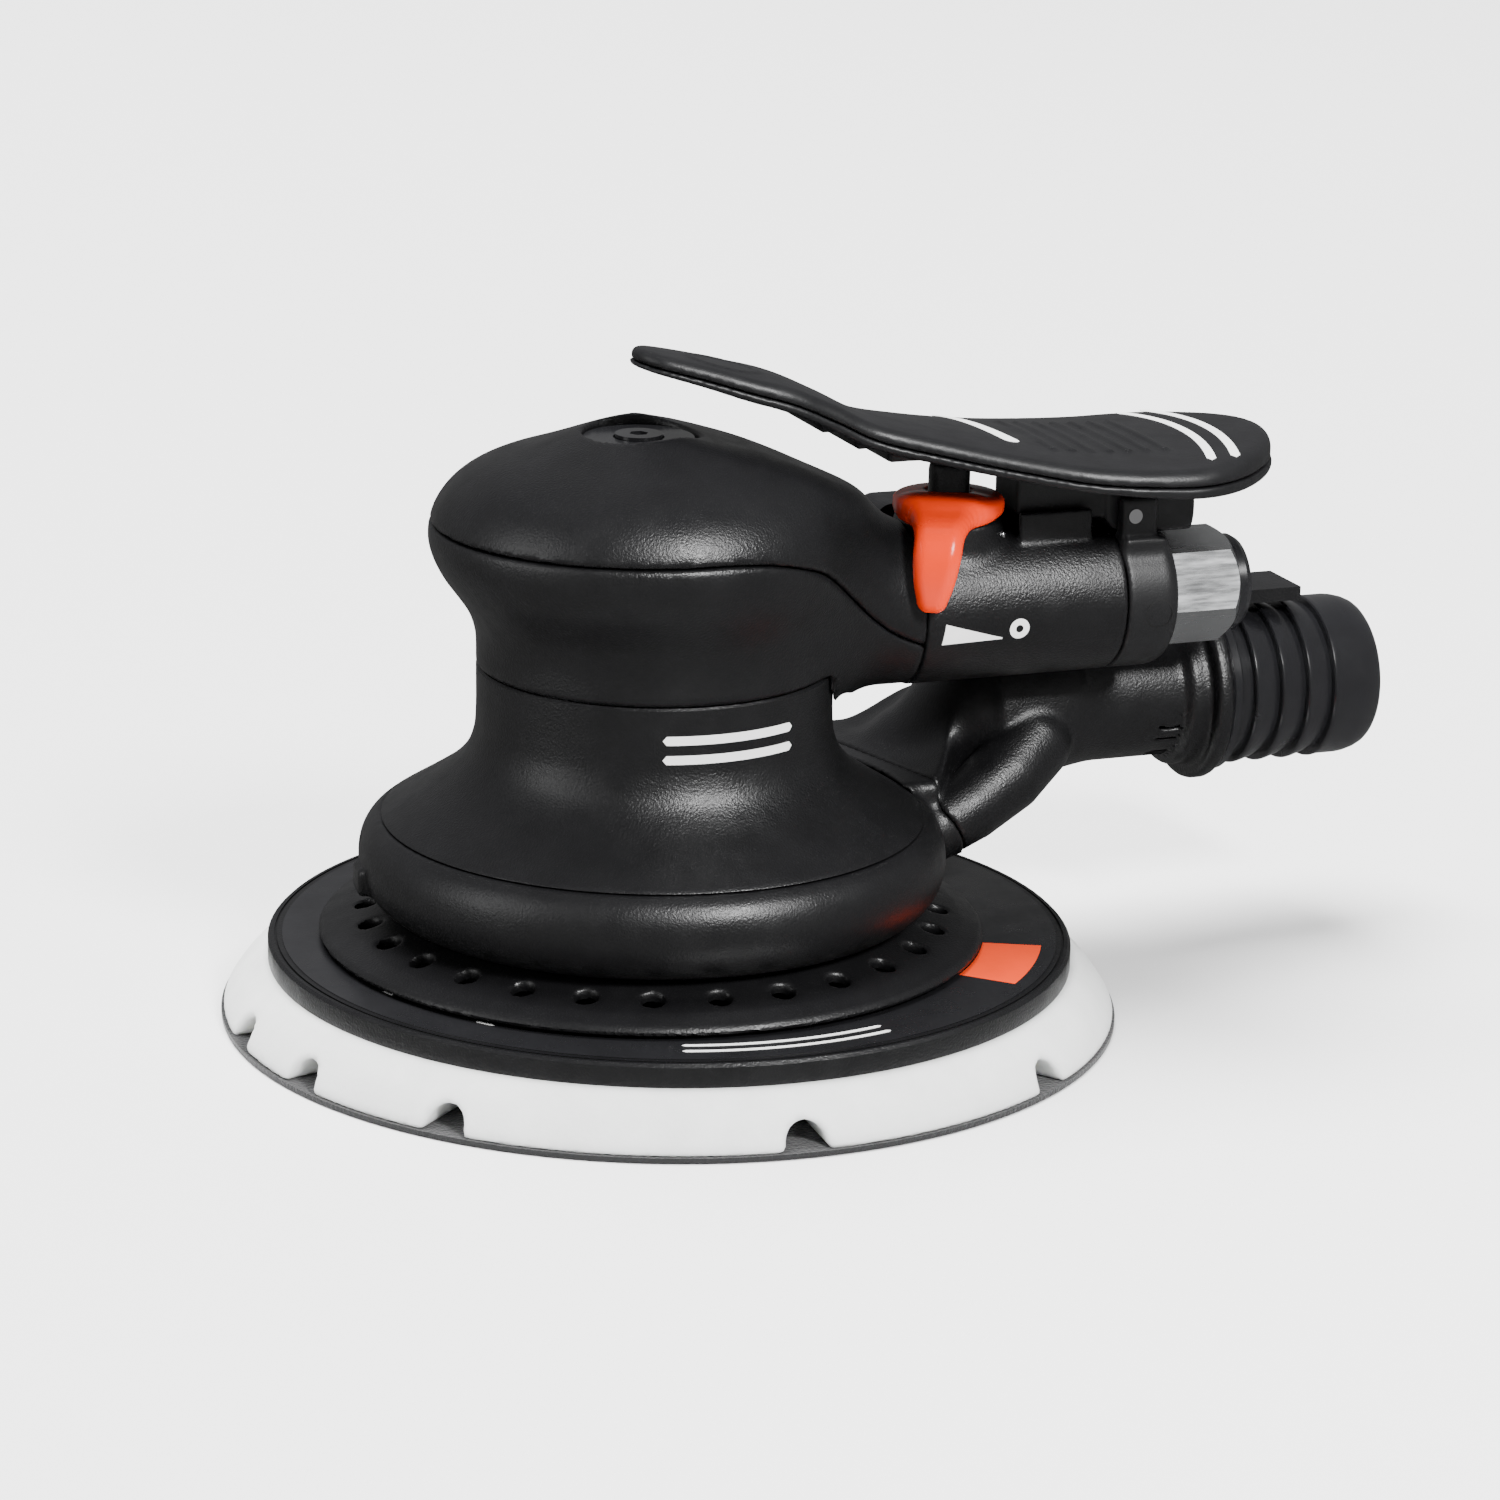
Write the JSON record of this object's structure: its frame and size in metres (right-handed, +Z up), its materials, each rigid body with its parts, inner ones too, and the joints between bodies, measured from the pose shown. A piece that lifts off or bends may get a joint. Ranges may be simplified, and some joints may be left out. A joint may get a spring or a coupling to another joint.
{
  "type": "random orbital sander",
  "caption": "Air-driven random orbital palm sander with a round foam-backed pad, side handle, paddle throttle lever, speed lever and swivelling dust outlet.",
  "frame": {"origin": "motor axis at the pad's working face", "axes": "+Z up along the motor axis, +X along the handle towards the air inlet"},
  "size_m": [0.2102, 0.15, 0.1129],
  "materials": {
    "grained_black": "fine grained moulded black plastic",
    "rubber_black": "satin black rubber",
    "charcoal_plastic": "grained charcoal plastic",
    "glossy_black": "glossy black plastic",
    "orange_plastic": "smooth orange plastic",
    "orange_print": "orange label",
    "label": "dark printed label",
    "aluminium": "brushed",
    "steel": "ground",
    "chrome": "polished",
    "brass": "machined",
    "composite": "phenolic composite",
    "felt": "felt",
    "foam": "translucent white foam",
    "hook": "hook layer"
  },
  "bodies": {
    "housing": {"motor_housing": "grained_black", "palm_cover": "grained_black", "top_badge": "glossy_black", "badge_screw": "steel", "lower_skirt": "grained_black", "shroud_ring": "rubber_black", "vent_skirt": "rubber_black", "handle_sleeve": "grained_black", "handle_end_cap": "charcoal_plastic", "inlet_bushing": "aluminium", "inlet_collar": "glossy_black", "inlet_screen": "brass", "guide_pin": "chrome", "exhaust_cover": "charcoal_plastic", "exhaust_muffler": "felt", "valve_seat": "brass", "valve_spring": "steel", "lever_pin": "chrome", "upper_end_plate": "aluminium", "motor_cylinder": "steel", "cylinder_o_rings": "rubber_black", "cylinder_dowel": "steel", "lower_end_plate": "aluminium", "lock_ring": "aluminium", "shaft_seal": "rubber_black", "upper_bearing": "steel", "lower_bearing": "steel", "dust_duct": "grained_black", "barb_latch": "grained_black"},
    "throttle_lever": {"lever_core": "charcoal_plastic", "lever_cover": "charcoal_plastic"},
    "speed_control": {"speed_lever": "orange_plastic", "speed_spool": "brass", "spool_o_ring": "rubber_black"},
    "throttle_valve": {"valve_plunger": "glossy_black", "plunger_o_ring": "rubber_black", "valve_stem": "brass"},
    "motor_shaft": {"shaft_ring": "steel", "shaft_balancer": "steel", "rotor": "steel", "rotor_key": "steel", "vanes": "composite", "spindle_bearings": "steel", "bearing_ring": "steel"},
    "pad": {"spindle": "steel", "spindle_ring": "steel", "pad_stud": "steel", "pad_hub_plate": "grained_black", "pad_label": "label", "pad_tag": "orange_print", "pad_foam": "foam", "hook_face": "hook"},
    "hose_swivel": {"hose_barb": "glossy_black", "barb_o_ring": "rubber_black"}
  },
  "joints": [
    {"name": "lever_hinge", "type": "hinge", "parent": "housing", "child": "throttle_lever", "pos_m": [0.082, 0, 0.081], "axis": [0, -1, 0], "range_deg": [0, 5.5], "stiffness_Nm_per_rad": 1.2, "springref_deg": -17.19},
    {"name": "plunger_slide", "type": "slide", "parent": "housing", "child": "throttle_valve", "axis": [0, 0, -1], "range_m": [0, 0.003], "stiffness_N_per_m": 25, "springref_m": -0.004, "deforming": ["valve_spring"]},
    {"name": "speed_turn", "type": "hinge", "parent": "housing", "child": "speed_control", "pos_m": [0.0518, 0, 0], "axis": [0, 0, 1], "range_deg": [0, 50]},
    {"name": "motor_spin", "type": "hinge", "parent": "housing", "child": "motor_shaft", "pos_m": [0, 0, 0], "axis": [0, 0, 1], "continuous": true},
    {"name": "pad_spin", "type": "hinge", "parent": "motor_shaft", "child": "pad", "pos_m": [0.0033, 0, 0], "axis": [0, 0, 1], "continuous": true},
    {"name": "hose_turn", "type": "hinge", "parent": "housing", "child": "hose_swivel", "pos_m": [0.109, 0.018, 0.0425], "axis": [1, 0, 0], "continuous": true}
  ],
  "couplings": [
    {"joint": "plunger_slide", "follows": "lever_hinge", "m_per_rad": 0.0303}
  ]
}
